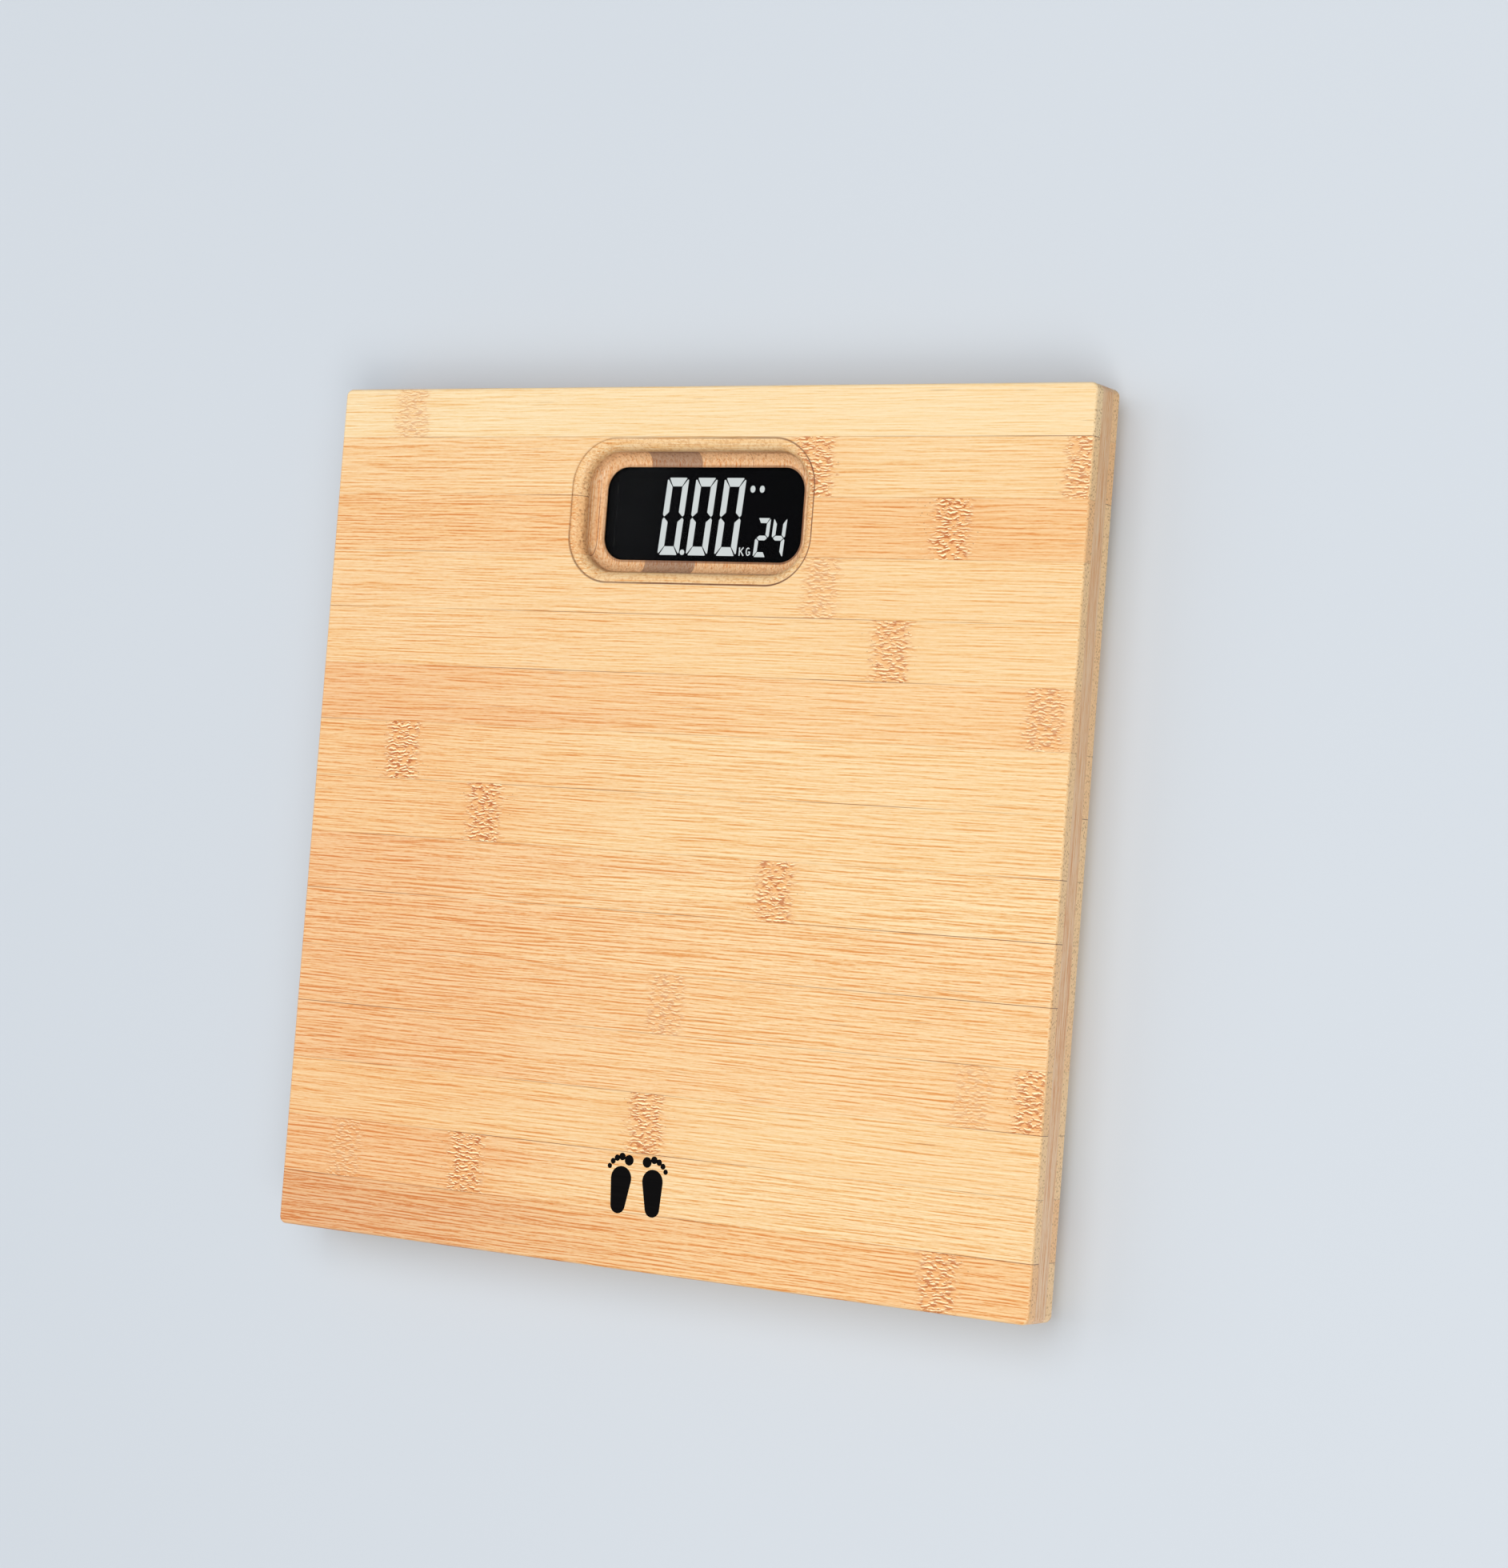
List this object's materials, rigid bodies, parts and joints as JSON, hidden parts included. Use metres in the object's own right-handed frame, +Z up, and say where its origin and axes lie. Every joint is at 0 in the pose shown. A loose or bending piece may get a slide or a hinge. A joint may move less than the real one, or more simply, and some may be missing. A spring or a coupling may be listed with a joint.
{
  "type": "digital bathroom scale",
  "caption": "Square low digital bathroom scale: three-ply bamboo platform with a recessed black display window, on four load-cell feet.",
  "frame": {"origin": "on the floor, under the middle of the square platform", "axes": "+Z up; +Y towards the edge with the display window; +X to the right of a person who stands on the platform facing the display"},
  "size_m": [0.3, 0.3, 0.025],
  "materials": {
    "bamboo_face": "clear matt lacquer on lengthwise bamboo strips",
    "bamboo_core": "crosswise bamboo strips, lacquered where they show",
    "bamboo_base": "sanded bamboo, thin lacquer",
    "black_abs": "fine spark-eroded texture",
    "grey_rubber": "matt moulded rubber",
    "cell_steel": "stamped sheet",
    "screw_steel": "blackened zinc",
    "contact_nickel": "nickel-plated spring steel",
    "lens_acrylic": "smoked acrylic, polished",
    "foam_tape": "die-cut foam tape",
    "lcd_glass": "negative liquid-crystal panel",
    "frame_abs": "white moulded frame",
    "guide_acrylic": "frosted acrylic",
    "led_white": "side-firing lamps",
    "zebra_rubber": "striped silicone",
    "board_green": "solder-masked laminate",
    "chip_epoxy": "black epoxy",
    "chip_body": "moulded packages",
    "sensor_bead": "epoxy-dipped bead",
    "switch_body": "moulded switch",
    "battery_wrap": "plain printed sleeve with a bare steel nub",
    "wire_pvc": "red, black and white insulated wire",
    "silicone_seal": "white silicone"
  },
  "bodies": {
    "platform": {"top_ply": "bamboo_face", "core_ply": "bamboo_core", "base_ply": "bamboo_base", "display_lens": "lens_acrylic", "lens_gasket": "foam_tape", "lcd_frame": "frame_abs", "lcd_panel": "lcd_glass", "backlight_guide": "guide_acrylic", "backlight_leds": "led_white", "zebra_connector": "zebra_rubber", "main_board": "board_green", "controller_chip": "chip_epoxy", "board_components": "chip_body", "temperature_sensor": "sensor_bead", "unit_switch": "switch_body", "board_screws": "screw_steel", "battery_1": "battery_wrap", "battery_2": "battery_wrap", "positive_contact": "contact_nickel", "negative_contact": "contact_nickel", "bridge_contact": "contact_nickel", "battery_leads": "wire_pvc", "electronics_housing": "black_abs", "housing_screws": "screw_steel", "foot_screws": "screw_steel", "cell_cup_front_left": "black_abs", "retainer_ring_front_left": "black_abs", "load_cell_front_left": "cell_steel", "gauge_seal_front_left": "silicone_seal", "cell_lead_front_left": "wire_pvc", "wire_cover_front_left": "black_abs", "cell_cup_front_right": "black_abs", "retainer_ring_front_right": "black_abs", "load_cell_front_right": "cell_steel", "gauge_seal_front_right": "silicone_seal", "cell_lead_front_right": "wire_pvc", "wire_cover_front_right": "black_abs", "cell_cup_rear_left": "black_abs", "retainer_ring_rear_left": "black_abs", "load_cell_rear_left": "cell_steel", "gauge_seal_rear_left": "silicone_seal", "cell_lead_rear_left": "wire_pvc", "wire_cover_rear_left": "black_abs", "cell_cup_rear_right": "black_abs", "retainer_ring_rear_right": "black_abs", "load_cell_rear_right": "cell_steel", "gauge_seal_rear_right": "silicone_seal", "cell_lead_rear_right": "wire_pvc", "wire_cover_rear_right": "black_abs"},
    "foot_front_left": {"foot_front_left": "black_abs", "foot_pad_front_left": "grey_rubber"},
    "foot_front_right": {"foot_front_right": "black_abs", "foot_pad_front_right": "grey_rubber"},
    "foot_rear_left": {"foot_rear_left": "black_abs", "foot_pad_rear_left": "grey_rubber"},
    "foot_rear_right": {"foot_rear_right": "black_abs", "foot_pad_rear_right": "grey_rubber"},
    "battery_door": {"battery_door": "black_abs"},
    "unit_button": {"unit_button": "black_abs", "unit_switch_plunger": "switch_body"}
  },
  "joints": [
    {"name": "foot_front_left_slide", "type": "slide", "parent": "platform", "child": "foot_front_left", "axis": [0, 0, -1], "range_m": [0, 0.0008]},
    {"name": "foot_front_right_slide", "type": "slide", "parent": "platform", "child": "foot_front_right", "axis": [0, 0, -1], "range_m": [0, 0.0008]},
    {"name": "foot_rear_left_slide", "type": "slide", "parent": "platform", "child": "foot_rear_left", "axis": [0, 0, -1], "range_m": [0, 0.0008]},
    {"name": "foot_rear_right_slide", "type": "slide", "parent": "platform", "child": "foot_rear_right", "axis": [0, 0, -1], "range_m": [0, 0.0008]},
    {"name": "battery_door_hinge", "type": "hinge", "parent": "platform", "child": "battery_door", "pos_m": [-0.0266, 0.06375, 0.0058], "axis": [0, 1, 0], "range_deg": [0, 90]},
    {"name": "unit_button_press", "type": "slide", "parent": "platform", "child": "unit_button", "axis": [0, 0, 1], "range_m": [0, 0.00025], "stiffness_N_per_m": 1500, "springref_m": -0.0007}
  ]
}
